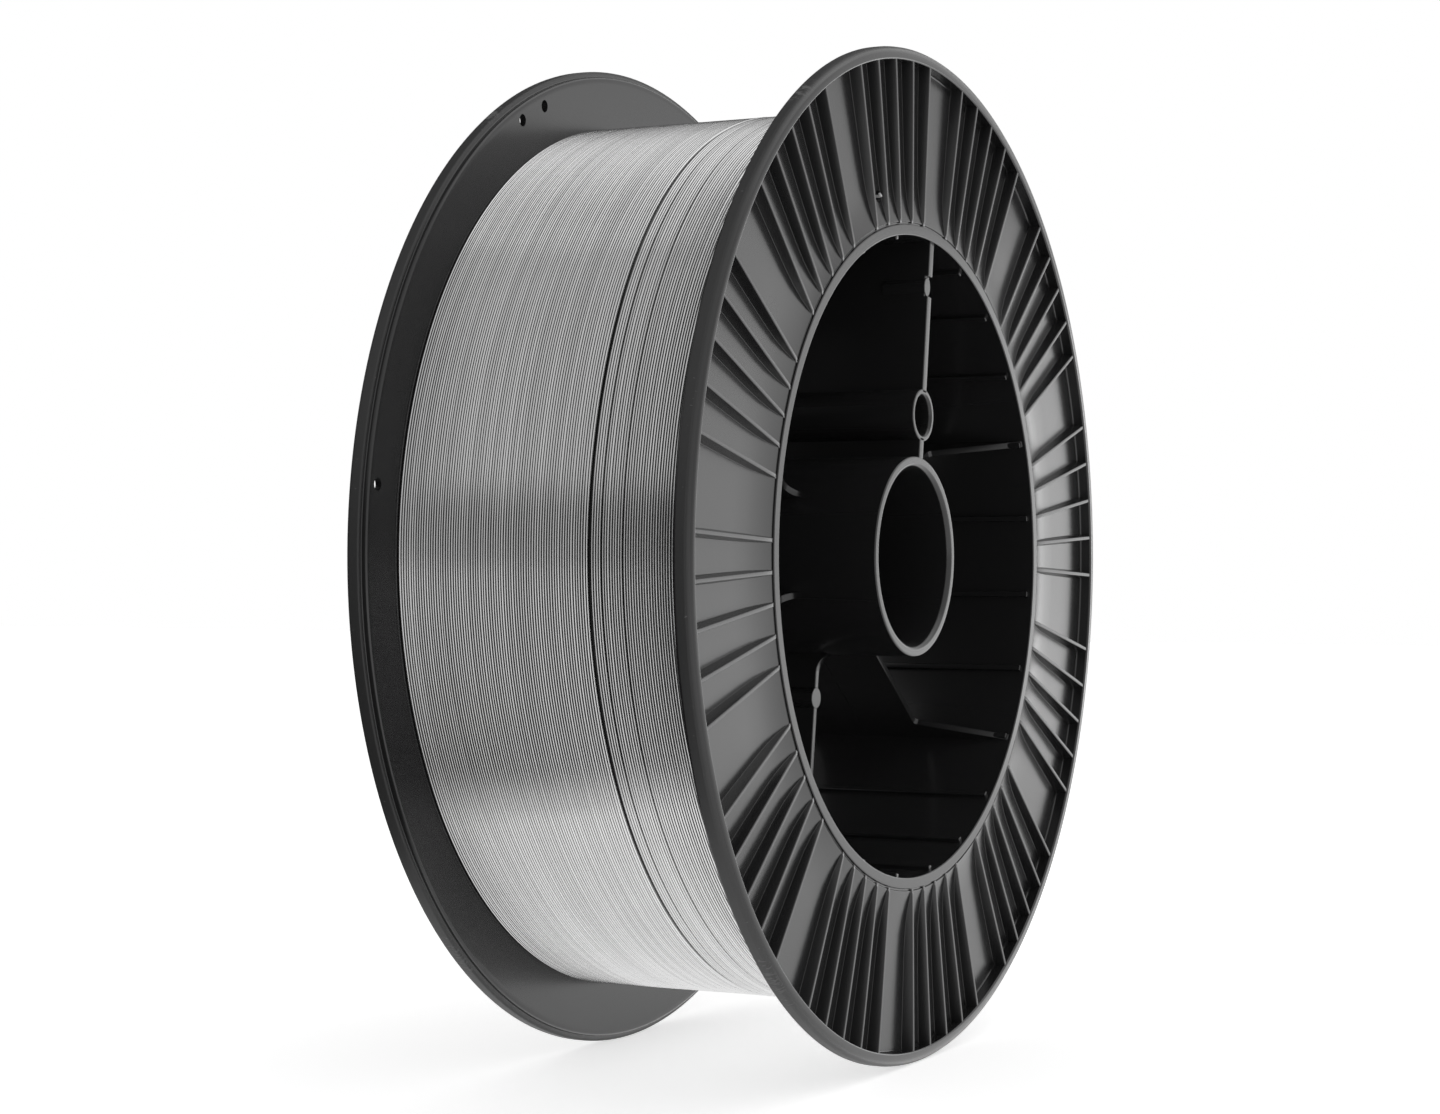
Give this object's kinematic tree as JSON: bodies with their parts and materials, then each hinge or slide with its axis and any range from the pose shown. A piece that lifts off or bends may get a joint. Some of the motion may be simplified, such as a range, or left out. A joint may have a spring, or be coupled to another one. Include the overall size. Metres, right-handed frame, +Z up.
{
  "type": "mig welding wire spool",
  "caption": "Black moulded flanged spool full of level-wound steel welding wire, with a centre arbor bore and a drive pin hole.",
  "frame": {"origin": "centre of the arbor bore at the middle of the spool's width", "axes": "Y along the spool's axis with the front flange at -Y, +Z up as the spool stands on its two rims"},
  "size_m": [0.297, 0.103, 0.297],
  "materials": {
    "black_plastic": "satin black injection moulding",
    "steel_wire": "bright drawn steel wire, level wound"
  },
  "bodies": {
    "root": {"front_spool_half": "black_plastic", "back_spool_half": "black_plastic", "wire_winding": "steel_wire"}
  },
  "joints": []
}
